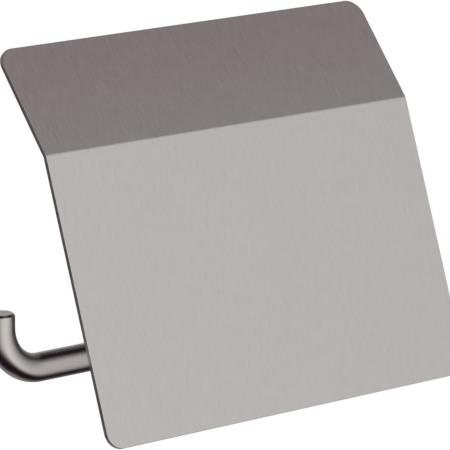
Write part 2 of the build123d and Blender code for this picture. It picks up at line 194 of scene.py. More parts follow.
def card_light(tree, towards, level, rise_sine, card):
    """The light of one soft card: a bell round the compass times a soft band in height."""
    name, colour, strength, (compass, wide), (rise, tall, tall_gone) = card
    dot = tree.nodes.new("ShaderNodeVectorMath")
    dot.operation = "DOT_PRODUCT"
    dot.label = name
    dot.inputs[1].default_value = (sin(radians(compass)), -cos(radians(compass)), 0)
    link(tree, towards, dot.inputs[0])
    facing = calculate(tree, "MAXIMUM", calculate(tree, "DIVIDE", dot.outputs["Value"], level), 0)
    across = calculate(tree, "POWER", facing, log(0.5) / log(cos(radians(wide))))
    above = calculate(tree, "ABSOLUTE", calculate(tree, "SUBTRACT", rise_sine, sin(radians(rise))), 0)
    centre = radians(abs(rise))
    full, gone = (sin(centre) - sin(centre - radians(reach)) for reach in (tall, tall_gone))
    upward = soft_step(tree, above, gone, full, strength)
    return calculate(tree, "MULTIPLY", across, upward)


print("widest card (degrees):", 2 * max(card[3][1] for card in CARDS))

# %% [markdown]
# The cards are added up over the dim room. A Light Path node then splits the world in two: whatever
# the camera sees directly is plain white, and every reflection and all shading sees the cards.

# %% The room


def add_cards(tree):
    """The sum of all the cards' light and the dim room, by direction."""
    towards = tree.nodes.new("ShaderNodeTexCoord").outputs["Generated"]
    parts = tree.nodes.new("ShaderNodeSeparateXYZ")
    link(tree, towards, parts.inputs[0])
    flat = tree.nodes.new("ShaderNodeVectorMath")
    flat.operation = "MULTIPLY"
    flat.inputs[1].default_value = (1, 1, 0)
    link(tree, towards, flat.inputs[0])
    level = tree.nodes.new("ShaderNodeVectorMath")
    level.operation = "LENGTH"
    link(tree, flat.outputs["Vector"], level.inputs[0])
    total = None
    for card in CARDS:
        light = card_light(tree, towards, level.outputs["Value"], parts.outputs["Z"], card)
        add = tree.nodes.new("ShaderNodeVectorMath")
        add.operation = "MULTIPLY_ADD"
        add.inputs[0].default_value = card[1]
        add.inputs[2].default_value = ROOM_DIM
        link(tree, light, add.inputs[1])
        if total:
            link(tree, total, add.inputs[2])
        total = add.outputs["Vector"]
    return total


def make_room():
    """World shader: white for the camera, soft cards of light for every reflection and for shading."""
    world = bpy.data.worlds.new("soft_room")
    world.use_nodes = True
    tree = world.node_tree
    tree.nodes.clear()
    room = tree.nodes.new("ShaderNodeBackground")
    link(tree, add_cards(tree), room.inputs["Color"])
    backdrop = tree.nodes.new("ShaderNodeBackground")
    backdrop.inputs["Color"].default_value = (*BACKDROP, 1)
    ray = tree.nodes.new("ShaderNodeLightPath")
    choose = tree.nodes.new("ShaderNodeMixShader")
    output = tree.nodes.new("ShaderNodeOutputWorld")
    link(tree, ray.outputs["Is Camera Ray"], choose.inputs[0])
    link(tree, room.outputs[0], choose.inputs[1])
    link(tree, backdrop.outputs[0], choose.inputs[2])
    link(tree, choose.outputs[0], output.inputs["Surface"])
    return world


bpy.context.scene.world = make_room()
bpy.context.scene.view_settings.view_transform = "Standard"
print("room nodes:", len(bpy.context.scene.world.node_tree.nodes))

# %% [markdown]
# The cards behind are dim, which suits the metal but leaves paint and plastic black on that side. Wide
# soft lamps behind, below, above and on the left lift them. No reflection shows these lamps, so the
# metal keeps the cards to itself.

# %% Soft fill
FILLS = (  # name, compass, rise (degrees), power (W)
    ("fill_back_left", -150, 20, 3.5),
    ("fill_back_right", 130, 15, 6.0),
    ("fill_left", -80, 5, 3.0),
    ("fill_below", 20, -75, 2.5),
    ("fill_above", 170, 70, 5.0),
)
FILL_DISTANCE = 1.2
FILL_SIZE = 1.0


def make_fill(name, compass, rise, power):
    """A wide square lamp aimed at the holder that no reflection shows."""
    data = bpy.data.lights.new(name, "AREA")
    data.energy = power
    data.size = FILL_SIZE
    lamp = bpy.data.objects.new(name, data)
    level = cos(radians(rise))
    away = Vector((sin(radians(compass)) * level, -cos(radians(compass)) * level, sin(radians(rise))))
    lamp.location = away * FILL_DISTANCE
    lamp.rotation_euler = away.to_track_quat("Z", "Y").to_euler()
    lamp.visible_camera = False
    lamp.visible_glossy = False
    bpy.context.collection.objects.link(lamp)


for fill in FILLS:
    make_fill(*fill)
print("soft lamps:", len(FILLS))

# %% [markdown]
# ## A small kit for finishes
# Every finish here is built the same way: a coordinate, a few noises stretched to the size of the real
# marks, and uses of each noise as a shift of colour, a shift of roughness or a little relief. Sizes are
# millimetres of the real mark.

# %% Finish kit: coordinates and marks


class Surface:
    """A Principled material, with the coordinates and noises that its marks come from."""

    def __init__(self, name, colour, metallic, roughness):
        self.material = bpy.data.materials.new(name)
        self.material.use_nodes = True
        self.tree = self.material.node_tree
        self.shader = self.tree.nodes["Principled BSDF"]
        self.shader.inputs["Metallic"].default_value = metallic
        self.colour = colour
        self.roughness = roughness

    def node(self, kind, **settings):
        """A new node with some of its settings."""
        node = self.tree.nodes.new(kind)
        for key, value in settings.items():
            setattr(node, key, value)
        return node

    def object_space(self):
        """Object coordinates: metres in the piece's own space."""
        return self.node("ShaderNodeTexCoord").outputs["Object"]

    def marks(self, space, size, detail=2.0, rough=0.5):
        """Noise whose marks measure size (mm) along the three axes of a space."""
        place = self.node("ShaderNodeMapping", vector_type="TEXTURE")
        place.inputs["Scale"].default_value = [side * MM for side in size]
        link(self.tree, space, place.inputs["Vector"])
        noise = self.node("ShaderNodeTexNoise")
        noise.inputs["Scale"].default_value = 1.0
        noise.inputs["Detail"].default_value = detail
        noise.inputs["Roughness"].default_value = rough
        link(self.tree, place.outputs["Vector"], noise.inputs["Vector"])
        return noise.outputs["Fac"]

    def lines(self, distance, width):
        """Noise that depends on one distance only: lines of a width in mm."""
        noise = self.node("ShaderNodeTexNoise", noise_dimensions="1D")
        noise.inputs["Scale"].default_value = 1 / (width * MM)
        noise.inputs["Detail"].default_value = 2.0
        link(self.tree, distance, noise.inputs["W"])
        return noise.outputs["Fac"]


print("ready: marks and lines")

# %% [markdown]
# The second half says what a mark does. A noise hovers about one half, so its middle range is first
# spread over the wanted numbers, such as 0.98 to 1.02 for a change of two percent either way. Colour
# and roughness are the base value times such numbers, and relief is in millimetres.

# %% Finish kit: what a mark does


class Finish(Surface):
    """A surface whose marks shift its colour and its roughness and stand up from it."""

    last_relief = None

    def spread(self, value, low, high, start=0.25, end=0.75):
        """The range start..end of a value, a noise's middle by default, stretched to low..high."""
        stretch = self.node("ShaderNodeMapRange")
        stretch.inputs["From Min"].default_value = start
        stretch.inputs["From Max"].default_value = end
        stretch.inputs["To Min"].default_value = low
        stretch.inputs["To Max"].default_value = high
        link(self.tree, value, stretch.inputs["Value"])
        return stretch.outputs["Result"]

    def product(self, shares):
        """The product of one or more values."""
        amount = shares[0]
        for share in shares[1:]:
            amount = calculate(self.tree, "MULTIPLY", amount, share)
        return amount

    def tint(self, *shares, base=None):
        """Colour: the base colour, or a socket that stands for it, times some values near 1."""
        scale = self.node("ShaderNodeVectorMath", operation="SCALE")
        scale.inputs[0].default_value = self.colour
        if base:
            link(self.tree, base, scale.inputs[0])
        link(self.tree, self.product(shares), scale.inputs["Scale"])
        link(self.tree, scale.outputs["Vector"], self.shader.inputs["Base Color"])

    def shine(self, *shares):
        """Roughness: the base roughness times some values near 1."""
        level = calculate(self.tree, "MULTIPLY", self.product(shares), self.roughness)
        link(self.tree, level, self.shader.inputs["Roughness"])

    def relief(self, value, height):
        """Relief of so many millimetres from a value, on top of any earlier relief."""
        bump = self.node("ShaderNodeBump")
        bump.inputs["Strength"].default_value = 1.0
        bump.inputs["Distance"].default_value = height * MM
        link(self.tree, value, bump.inputs["Height"])
        if self.last_relief:
            link(self.tree, self.last_relief, bump.inputs["Normal"])
        self.last_relief = bump.outputs["Normal"]
        link(self.tree, self.last_relief, self.shader.inputs["Normal"])


print("ready: tint, shine and relief")

# %% [markdown]
# ## Brushed dark chrome
# The cover is brushed before it is coated: short, fine scratches that all run down the sheet and turn
# with it over the crease. A pattern in space would slide off the slopes, so the marks follow the sheet's
# own map, in metres across and down. Three sizes are needed: broad sweeps of the belt, the strokes that
# the eye sees from a step away, and hairlines that only break up the reflection from close by. Brushing
# also smears a reflection across its strokes, which is what anisotropy does.

# %% The brushed marks
# The cover's coat is the bar's coat set lighter: painted extra light on the cover.
LIT_BRUSHED_CHROME = (0.738, 0.722, 0.716)

brushed = Finish("brushed_dark_chrome", LIT_BRUSHED_CHROME, 1.0, 0.40)
brushed.shader.inputs["Anisotropic"].default_value = 0.8
across_sheet = brushed.node("ShaderNodeTangent", direction_type="UV_MAP", uv_map="metres")
link(brushed.tree, across_sheet.outputs["Tangent"], brushed.shader.inputs["Tangent"])
sheet_space = brushed.node("ShaderNodeUVMap", uv_map="metres").outputs["UV"]
sweeps = brushed.marks(sheet_space, (0.85, 9.0, 1.0), detail=1.0)
strokes = brushed.marks(sheet_space, (0.42, 4.5, 1.0), rough=0.55)
hairlines = brushed.marks(sheet_space, (0.12, 9.0, 1.0), detail=1.0)
clouds = brushed.marks(sheet_space, (28.0, 40.0, 1.0), detail=1.0)
print("brushed marks nodes:", len(brushed.tree.nodes))

# %% [markdown]
# The colour is a little rosier towards the cover's top edge: a painted rosy reflection on the top panel.
# The strokes also bite deeper on the top panel than on the front one. Both follow the distance down
# the sheet, which is the second number of the sheet's map.

# %% The painted rosy reflection and the strokes down the sheet
# Painted rosy reflection: towards the cover's top edge the colour is blended to this one.
PAINTED_ROSE_CHROME = (0.738, 0.676, 0.673)  # near the cover's top edge
ROSE_FULL_SHARE = 0.2  # share of the top panel that is fully warm
TOP_BITE = 0.035  # extra change of colour by the strokes on the top panel
BITE_FADE = 1.0 * MM  # on either side of the crease

down_sheet = brushed.node("ShaderNodeSeparateXYZ")
link(brushed.tree, sheet_space, down_sheet.inputs[0])
down = down_sheet.outputs["Y"]
# The painted rosy reflection is full near the top edge and gone at the crease.
rose_reflection_share = brushed.spread(down, 1.0, 0.0, ROSE_FULL_SHARE * top_panel, top_panel)
coat_and_rose_tint = brushed.node("ShaderNodeMix", data_type="VECTOR")
link(brushed.tree, rose_reflection_share, coat_and_rose_tint.inputs["Factor"])
coat_and_rose_tint.inputs[4].default_value = LIT_BRUSHED_CHROME
coat_and_rose_tint.inputs[5].default_value = PAINTED_ROSE_CHROME
on_top = brushed.spread(down, 1.0, 0.0, top_panel - BITE_FADE, top_panel + BITE_FADE)
bite = brushed.product([on_top, brushed.spread(strokes, -TOP_BITE, TOP_BITE)])
print("fully warm down to (mm):", round(ROSE_FULL_SHARE * top_panel / MM, 1))

# %% Brushed metal for the cover
brushed.tint(
    brushed.spread(sweeps, 0.985, 1.015),
    brushed.spread(strokes, 0.955, 1.045),
    brushed.spread(hairlines, 0.980, 1.020),
    brushed.spread(clouds, 0.992, 1.008),
    calculate(brushed.tree, "ADD", bite, 1.0),
    base=coat_and_rose_tint.outputs[1],
)
brushed.shine(brushed.spread(strokes, 0.90, 1.10), brushed.spread(hairlines, 0.94, 1.06))
brushed.relief(hairlines, 0.0010)
brushed.relief(strokes, 0.0095)
brushed.relief(sweeps, 0.0220)
print("brushed metal nodes:", len(brushed.tree.nodes))

# %% [markdown]
# ## Satin dark chrome
# The bar has the same coat over a rod that was polished while it turned, so its faint lines run round
# it. They depend only on how far along the rod a point is, which the bar's mesh will carry as a number
# called along.

# %% Satin metal for the bar
CHROME = (0.555, 0.526, 0.512)

satin = Finish("satin_dark_chrome", CHROME, 1.0, 0.17)
along_rod = satin.node("ShaderNodeAttribute", attribute_name="along").outputs["Fac"]
polish = satin.lines(along_rod, 0.20)
haze = satin.marks(satin.object_space(), (5.0, 5.0, 5.0))
satin.tint(satin.spread(polish, 0.985, 1.015), satin.spread(haze, 0.99, 1.01))
satin.shine(satin.spread(polish, 0.92, 1.08), satin.spread(haze, 0.95, 1.05))
satin.relief(polish, 0.0004)
print("satin metal nodes:", len(satin.tree.nodes))

# %% [markdown]
# ## Paint for the carrier
# The carrier is a zinc casting with a fine-grained satin paint: a peel that the eye just feels, small
# flecks of metal, and a slow drift where the paint flowed. The carrier is left out of reflections only,
# because so close above the bar it would darken the clean upper rim that the bar needs.

# %% Paint


def dress(finish, *node_names):
    """Give a finish to some CAD nodes."""
    for node_name in node_names:
        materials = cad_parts[node_name].data.materials
        materials.clear()
        materials.append(finish.material)
    print(finish.material.name, "nodes:", len(finish.tree.nodes), "on:", *node_names)


paint = Finish("cast_paint", (0.190, 0.176, 0.172), 0.35, 0.44)
space = paint.object_space()
peel = paint.marks(space, (0.55, 0.55, 0.55))
flecks = paint.marks(space, (0.12, 0.12, 0.12), detail=1.0)
flow = paint.marks(space, (12.0, 12.0, 12.0))
paint.tint(paint.spread(flecks, 0.88, 1.12), paint.spread(flow, 0.96, 1.04))
paint.shine(paint.spread(peel, 0.92, 1.08), paint.spread(flow, 0.95, 1.05))
paint.relief(peel, 0.012)
paint.relief(flecks, 0.003)
dress(paint, "carrier")
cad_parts["carrier"].visible_glossy = False

# %% [markdown]
# ## Plated sheet steel
# The bracket and the hinge leaf are stamped from rolled steel and plated with zinc. Rolling leaves long
# faint lines one way, and the plating blooms in small patches that are duller or brighter.

# %% Plated steel
zinc = Finish("plated_sheet_steel", (0.600, 0.615, 0.630), 1.0, 0.36)
space = zinc.object_space()
rolling = zinc.marks(space, (18.0, 0.35, 0.35))
bloom = zinc.marks(space, (3.5, 3.5, 3.5), detail=3.0, rough=0.6)
zinc.tint(zinc.spread(rolling, 0.96, 1.04), zinc.spread(bloom, 0.90, 1.06))
zinc.shine(zinc.spread(rolling, 0.92, 1.08), zinc.spread(bloom, 0.82, 1.18))
zinc.relief(rolling, 0.003)
zinc.relief(bloom, 0.004)
dress(zinc, "wall_bracket", "hinge_leaf")

# %% [markdown]
# ## Turned steel
# The pin, the screws and the other small hardware are turned and plated. The tool leaves fine marks
# side by side, and handling wears the shine unevenly. The studs, nuts and washers share this finish.

# %% Turned steel
turned = Finish("turned_steel", (0.560, 0.555, 0.545), 1.0, 0.26)
space = turned.object_space()
tooling = turned.marks(space, (0.18, 0.9, 0.9))
wear = turned.marks(space, (2.2, 2.2, 2.2), rough=0.6)
turned.tint(turned.spread(tooling, 0.95, 1.05), turned.spread(wear, 0.93, 1.05))
turned.shine(turned.spread(tooling, 0.88, 1.12), turned.spread(wear, 0.85, 1.20))
turned.relief(tooling, 0.0015)
dress(turned, "hinge_pin", "pin_clips", "bar_screw", "bar_washer", "bar_key", "grub_screws")

# %% [markdown]
# ## Natural acetal
# Bushes and thrust washers are moulded in uncoloured acetal, a milky plastic that lets light in a
# little way. Subsurface scattering does that, with a reach of under a millimetre.

# %% Acetal
ACETAL_DEPTH = 0.8 * MM

acetal = Finish("natural_acetal", (0.800, 0.780, 0.720), 0.0, 0.38)
space = acetal.object_space()
cloudy = acetal.marks(space, (1.6, 1.6, 1.6))
grain = acetal.marks(space, (0.15, 0.15, 0.15), detail=1.0)
acetal.tint(acetal.spread(cloudy, 0.97, 1.03))
acetal.shine(acetal.spread(cloudy, 0.90, 1.10))
acetal.relief(grain, 0.002)
acetal.shader.inputs["Subsurface Weight"].default_value = 0.25
acetal.shader.inputs["Subsurface Radius"].default_value = (1.0, 0.8, 0.6)
acetal.shader.inputs["Subsurface Scale"].default_value = ACETAL_DEPTH
dress(acetal, "hinge_bushes", "thrust_washers")

# %% [markdown]
# ## Frosted silicone
# The bumpers are clear silicone from a frosted mould: partly see-through, milky inside, with a skin too
# rough to shine. Some transmission with silicone's own refraction gives the depth.

# %% Silicone
silicone = Finish("frosted_silicone", (0.760, 0.775, 0.770), 0.0, 0.46)
space = silicone.object_space()
frost = silicone.marks(space, (0.25, 0.25, 0.25))
milk = silicone.marks(space, (2.5, 2.5, 2.5))
silicone.tint(silicone.spread(milk, 0.97, 1.03), silicone.spread(frost, 0.98, 1.02))
silicone.shine(silicone.spread(frost, 0.85, 1.15))
silicone.relief(frost, 0.006)
silicone.shader.inputs["Transmission Weight"].default_value = 0.35
silicone.shader.inputs["IOR"].default_value = 1.41
print("silicone nodes:", len(silicone.tree.nodes))

# %% [markdown]
# ## Matt rubber
# The wall pads and the ring behind the collar are black rubber. It is never quite black: a dry skin
# scatters the light, and dust sits on it in soft patches.

# %% Rubber
rubber = Finish("matt_rubber", (0.030, 0.030, 0.031), 0.0, 0.72)
space = rubber.object_space()
skin = rubber.marks(space, (0.30, 0.30, 0.30), detail=3.0, rough=0.6)
dust = rubber.marks(space, (1.8, 1.8, 1.8))
rubber.tint(rubber.spread(dust, 0.80, 1.35))
rubber.shine(rubber.spread(skin, 0.88, 1.10))
rubber.relief(skin, 0.010)
dress(rubber, "wall_pads", "collar_o_ring")

# %% [markdown]
# ## The spun collar
# The collar is turned on a lathe and has the bar's coat. A lathe tool leaves rings about the axis, so
# its noise depends only on how far a point is from the line through the collar's middle.

# %% Collar


def from_axis(finish, axis, centre=(0, 0, 0)):
    """How far a point is from the line along an axis through centre."""
    place = finish.node("ShaderNodeMapping", vector_type="TEXTURE")
    place.inputs["Location"].default_value = centre
    link(finish.tree, finish.object_space(), place.inputs["Vector"])
    flat = finish.node("ShaderNodeVectorMath", operation="MULTIPLY")
    flat.inputs[1].default_value = [0.0 if letter == axis else 1.0 for letter in "XYZ"]
    link(finish.tree, place.outputs["Vector"], flat.inputs[0])
    radius = finish.node("ShaderNodeVectorMath", operation="LENGTH")
    link(finish.tree, flat.outputs["Vector"], radius.inputs[0])
    return radius.outputs["Value"]


collar_low, collar_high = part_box("bar_collar")
collar_middle = (collar_low + collar_high) / 2
spun = Finish("spun_dark_chrome", CHROME, 1.0, 0.22)
rings = spun.lines(from_axis(spun, "Y", collar_middle), 0.10)
haze = spun.marks(spun.object_space(), (4.0, 4.0, 4.0))
spun.tint(spun.spread(rings, 0.97, 1.03), spun.spread(haze, 0.985, 1.015))
spun.shine(spun.spread(rings, 0.85, 1.15), spun.spread(haze, 0.95, 1.05))
spun.relief(rings, 0.0006)
dress(spun, "bar_collar")
print("collar centre (mm):", [round(v / MM, 2) for v in collar_middle])

# %% [markdown]
# ## The folded cover
# The real cover is cut as a flat blank with rounded corners, brushed, folded once over a small radius and
# then coated. It could be modelled flat and bent with a modifier, but the fold is so simple that the blank
# can be laid straight onto the folded shape: each row of points is a distance down the sheet, and the
# distance says whether it lies on the top panel, in the crease or on the front panel.

# %% Down the sheet
CORNER = 5.0 * MM
CREASE_RADIUS = 1.8 * MM  # on the outer face

bend_angle = TOP_LEAN - FRONT_LEAN
tangent_length = CREASE_RADIUS * tan(bend_angle / 2)
arc_length = CREASE_RADIUS * bend_angle
top_straight = top_panel - tangent_length
front_straight = front_panel - tangent_length
sheet_length = top_straight + arc_length + front_straight


def on_sheet(distance):
    """Point on the outer face, in the side view, so far down the sheet from its top edge."""
    if distance <= top_straight:
        return top_edge + distance * top_down
    if distance >= top_straight + arc_length:
        return crease + (distance - top_straight - arc_length + tangent_length) * front_down
    turned_by = (distance - top_straight) / CREASE_RADIUS
    start = top_edge + top_straight * top_down
    return start + CREASE_RADIUS * (sin(turned_by) * top_down - (1 - cos(turned_by)) * top_out)


def half_width(distance):
    """Half the blank's width at a distance down the sheet, with its rounded corners."""
    from_end = min(distance, sheet_length - distance)
    if from_end >= CORNER:
        return cover_width / 2
    return cover_width / 2 - CORNER + sqrt(max(0.0, CORNER**2 - (CORNER - from_end) ** 2))


print("flat blank (mm):", round(cover_width / MM, 2), "by", round(sheet_length / MM, 2))

# %% [markdown]
# The outer face is one flat face for each panel and a few strips for the crease. Thin rows of faces at
# the corners would look natural too, but a bevel spikes where it meets them, so a panel stays whole. The
# sheet's map, metres across and down, comes for free: it is just the numbers that placed each point.

# %% Fold the sheet
CORNER_STEPS = 14
CREASE_STEPS = 8


def fold_sheet():
    """The cover's outer face, with its map in metres."""
    ends = [CORNER * (1 - cos(step / CORNER_STEPS * pi / 2)) for step in range(CORNER_STEPS + 1)]
    bend = [top_straight + arc_length * step / CREASE_STEPS for step in range(CREASE_STEPS + 1)]
    rows = ends + bend + [sheet_length - distance for distance in reversed(ends)]
    shell = bmesh.new()
    metres = shell.loops.layers.uv.new("metres")
    edges = {}
    for side in (-1, 1):
        places = [(side * half_width(distance), distance) for distance in rows]
        edges[side] = [(shell.verts.new((x, *on_sheet(distance).yz)), distance) for x, distance in places]
    bend_start = len(ends)
    bend_end = bend_start + CREASE_STEPS
    strips = [(row, row + 1) for row in range(bend_start, bend_end)]
    for first, last in [(0, bend_start), *strips, (bend_end, len(rows) - 1)]:
        outline = edges[-1][first:last + 1] + edges[1][first:last + 1][::-1]
        face = shell.faces.new([corner for corner, distance in outline])
        for loop, (corner, distance) in zip(face.loops, outline):
            loop[metres].uv = (corner.co.x + cover_width / 2, distance)
    mesh = bpy.data.meshes.new("folded_cover")
    shell.to_mesh(mesh)
    shell.free()
    mesh.shade_smooth()
    mesh.materials.append(brushed.material)
    piece = bpy.data.objects.new("folded_cover", mesh)
    bpy.context.collection.objects.link(piece)
    return piece


cover = fold_sheet()
print("faces before thickness:", len(cover.data.polygons))

# %% [markdown]
# Solidify gives the sheet its thickness, inwards from the outer face. A narrow Bevel breaks the sheared
# edges, as tumbling does, and Weighted Normal keeps the panels flat beside it. The cover is left out of
# reflections only, so that the bar below it keeps one clean band of light.

# %% Thickness and edges
EDGE_ROUND = 0.20 * MM
EDGE_STEPS = 4
SHARP_EDGE = radians(50)  # the crease's strips turn far less

thicken = cover.modifiers.new("sheet_thickness", "SOLIDIFY")
thicken.thickness = SHEET
thicken.offset = -1
thicken.use_even_offset = True
soften = cover.modifiers.new("edge_round", "BEVEL")
soften.width = EDGE_ROUND
soften.segments = EDGE_STEPS
soften.limit_method = "ANGLE"
soften.angle_limit = SHARP_EDGE
soften.use_clamp_overlap = False
level_out = cover.modifiers.new("flat_panels", "WEIGHTED_NORMAL")
level_out.weight = 100
cover.visible_glossy = False
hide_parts("cover_sheet")
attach(cover, "cover")
print("cover modifiers:", *[modifier.name for modifier in cover.modifiers])

# %% [markdown]
# ## A small kit for Geometry Nodes
# A tree made in the script needs four things over and over: a named input, a node with its values set,
# a last step that shades the result and gives it a material, and a way to run the tree on a mesh and
# keep the result as a plain mesh.

# %% Geometry Nodes kit
FLOAT, WHOLE, VECTOR, SHAPE = "NodeSocketFloat", "NodeSocketInt", "NodeSocketVector", "NodeSocketObject"


class Tree:
    """A Geometry Nodes tree under construction."""

    def __init__(self, name, **inputs):
        self.tree = bpy.data.node_groups.new(name, "GeometryNodeTree")
        face = self.tree.interface
        face.new_socket("Geometry", in_out="INPUT", socket_type="NodeSocketGeometry")
        face.new_socket("Geometry", in_out="OUTPUT", socket_type="NodeSocketGeometry")
        self.sockets = {}
        for label, kind in inputs.items():
            shown = label.replace("_", " ").capitalize()
            self.sockets[label] = face.new_socket(shown, in_out="INPUT", socket_type=kind)
        self.entry = self.tree.nodes.new("NodeGroupInput")
        self.exit = self.tree.nodes.new("NodeGroupOutput")

    def size(self, label):
        """The output that carries a named input."""
        return self.entry.outputs[self.sockets[label].name]

    def node(self, kind, sources=None, **settings):
        """A new node: settings are its properties, sources fill its input sockets."""
        node = self.tree.nodes.new(kind)
        for key, value in settings.items():
            setattr(node, key, value)
        for key, value in (sources or {}).items():
            if isinstance(value, bpy.types.NodeSocket):
                link(self.tree, value, node.inputs[key])
            else:
                node.inputs[key].default_value = value
        return node

    def maths(self, operation, first, second):
        """A sum on two values."""
        return self.node("ShaderNodeMath", {0: first, 1: second}, operation=operation).outputs[0]


print("tree inputs can be:", FLOAT, WHOLE, VECTOR, SHAPE)

# %% [markdown]
# Turned and bored pieces have both round and crisp places. The last step shades everything smooth and
# then marks as crisp each edge that turns by more than an angle. It ends in Realize Instances and Set
# Material, so that nothing is left as an instance.

# %% Last step of a tree, and running it


def end_tree(tree, geometry, material, sharp=30.0):
    """Shade the result, realize its instances and give it its material."""
    smooth = tree.node(
        "GeometryNodeSetShadeSmooth", {"Geometry": geometry, "Shade Smooth": True}, domain="FACE",
    )
    angle = tree.node("GeometryNodeInputMeshEdgeAngle").outputs["Unsigned Angle"]
    is_sharp = tree.node("FunctionNodeCompare", {"A": angle, "B": radians(sharp)}, operation="GREATER_THAN")
    crisp = tree.node(
        "GeometryNodeSetShadeSmooth",
        {"Geometry": smooth.outputs[0], "Selection": is_sharp.outputs[0], "Shade Smooth": False},
        domain="EDGE",
    )
    real = tree.node("GeometryNodeRealizeInstances", {"Geometry": crisp.outputs[0]})
    dressed = tree.node("GeometryNodeSetMaterial", {"Geometry": real.outputs[0], "Material": material})
    link(tree.tree, dressed.outputs[0], tree.exit.inputs[0])


def run_tree(tree, name, mesh, **sizes):
    """Run a tree on a mesh with these sizes and keep the result as a plain mesh object."""
    piece = bpy.data.objects.new(name, mesh)
    bpy.context.collection.objects.link(piece)
    modifier = piece.modifiers.new(tree.tree.name, "NODES")
    modifier.node_group = tree.tree
    for label, value in sizes.items():
        modifier[tree.sockets[label].identifier] = value
    graph = bpy.context.evaluated_depsgraph_get()
    made = bpy.data.meshes.new_from_object(piece.evaluated_get(graph), depsgraph=graph)
    piece.modifiers.remove(modifier)
    piece.data = made
    made.name = name
    print(name, "faces:", len(made.polygons))
    return piece


print("ready: end_tree, run_tree")

# %% [markdown]
# ## The bar
# The bar is one rod, bent twice round the same former and faced off square, with a small chamfer on the
# end that the roll slides over. Its shape is a path and a radius, which is exactly what Geometry Nodes do
# well: the object's own mesh is the path, and the tree does the bending and the sweeping. The path needs
# five points: the root in the carrier, the two corners, and the two ends of the chamfer.

# %% The bar's path
BAR_RADIUS = 4.0 * MM
END_CHAMFER = 0.6 * MM
BAR_REACH = 60.0 * MM  # from the wall to the bar's axis
HOOK_OUTBOARD = 25.3 * MM  # from the cover's left edge to the hook's axis

bar_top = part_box("roll_bar")[1]
bar_axis_x = collar_middle.x
bar_axis_z = collar_middle.z
hook_axis_x = cover_low.x - HOOK_OUTBOARD
root = Vector((bar_axis_x, bar_top.y, bar_axis_z))
near_corner = Vector((bar_axis_x, -BAR_REACH, bar_axis_z))
far_corner = Vector((hook_axis_x, -BAR_REACH, bar_axis_z))
hook_end = Vector((hook_axis_x, -BAR_REACH, bar_top.z))
chamfer_start = hook_end - Vector((0, 0, END_CHAMFER))


def path_mesh(name, points, **marks):
    """Points joined in a row by edges, each mark a number on every point."""
    mesh = bpy.data.meshes.new(name)
    mesh.from_pydata(points, [(index, index + 1) for index in range(len(points) - 1)], [])
    for label, values in marks.items():
        mesh.attributes.new(label, "FLOAT", "POINT").data.foreach_set("value", values)
    return mesh


bar_path = path_mesh(
    "bar_path", [root, near_corner, far_corner, chamfer_start, hook_end],
    bend=[0, 1, 1, 0, 0], tip=[0, 0, 0, 0, 1],
)
print("bar from", [round(v / MM, 1) for v in root], "to", [round(v / MM, 1) for v in hook_end])

# %% [markdown]
# The tree rounds the corners that are marked as bends, draws in the radius at the point marked as the
# tip, stores the length along the rod for the polish, and sweeps a circle. Then it bores the blind hole
# for the screw and the slot for the key in the end that sits in the carrier.

# %% The bar's tree
DRILL_SIDES = 48


def marked(tree, name):
    """A number that the path carries on its points."""
    return tree.node("GeometryNodeInputNamedAttribute", {"Name": name}, data_type="FLOAT").outputs[0]


def sweep_rod(tree):
    """The solid rod, bent and chamfered, with its length stored along it."""
    path = tree.node("GeometryNodeMeshToCurve", {"Mesh": tree.entry.outputs[0]}).outputs[0]
    bend_radius = tree.maths("MULTIPLY", marked(tree, "bend"), tree.size("bend_radius"))
    rounded = tree.node(
        "GeometryNodeFilletCurve",
        {"Curve": path, "Count": tree.size("bend_steps"), "Radius": bend_radius}, mode="POLY",
    ).outputs[0]
    cut_share = tree.maths("DIVIDE", tree.size("end_chamfer"), tree.size("bar_radius"))
    girth = tree.maths("SUBTRACT", 1.0, tree.maths("MULTIPLY", marked(tree, "tip"), cut_share))
    sized = tree.node("GeometryNodeSetCurveRadius", {"Curve": rounded, "Radius": girth}).outputs[0]
    length = tree.node("GeometryNodeSplineParameter").outputs["Length"]
    measured = tree.node(
        "GeometryNodeStoreNamedAttribute", {"Geometry": sized, "Name": "along", "Value": length},
        domain="POINT", data_type="FLOAT",
    ).outputs[0]
    circle = tree.node(
        "GeometryNodeCurvePrimitiveCircle",
        {"Resolution": tree.size("sides"), "Radius": tree.size("bar_radius")},
    ).outputs[0]
    return tree.node(
        "GeometryNodeCurveToMesh",
        {"Curve": measured, "Profile Curve": circle, "Scale": girth, "Fill Caps": True},
    ).outputs[0]


def drill(tree, place, radius, length):
    """A drill along Y that reaches its length to both sides of a place."""
    depth = tree.maths("MULTIPLY", tree.size(length), 2.0)
    rod = tree.node(
        "GeometryNodeMeshCylinder", {"Vertices": DRILL_SIDES, "Radius": tree.size(radius), "Depth": depth},
    )
    return tree.node(
        "GeometryNodeTransform",
        {"Geometry": rod.outputs[0], "Translation": tree.size(place), "Rotation": (pi / 2, 0, 0)},
    ).outputs[0]


bar_tree = Tree(
    "bend_a_bar", bar_radius=FLOAT, bend_radius=FLOAT, end_chamfer=FLOAT, bend_steps=WHOLE, sides=WHOLE,
    root=VECTOR, hole_radius=FLOAT, hole_depth=FLOAT, key_place=VECTOR, key_radius=FLOAT, key_length=FLOAT,
)
bored = bar_tree.node(
    "GeometryNodeMeshBoolean", {"Mesh 1": sweep_rod(bar_tree)}, operation="DIFFERENCE", solver="EXACT",
)
for drill_sizes in (("root", "hole_radius", "hole_depth"), ("key_place", "key_radius", "key_length")):
    link(bar_tree.tree, drill(bar_tree, *drill_sizes), bored.inputs["Mesh 2"])
end_tree(bar_tree, bored.outputs[0], satin.material)
print("bar tree nodes:", len(bar_tree.tree.nodes))

# %% [markdown]
# Only now do the sizes meet the tree. They go in as the modifier's inputs, so the same tree would make
# a thicker bar or a wider bend from other numbers.

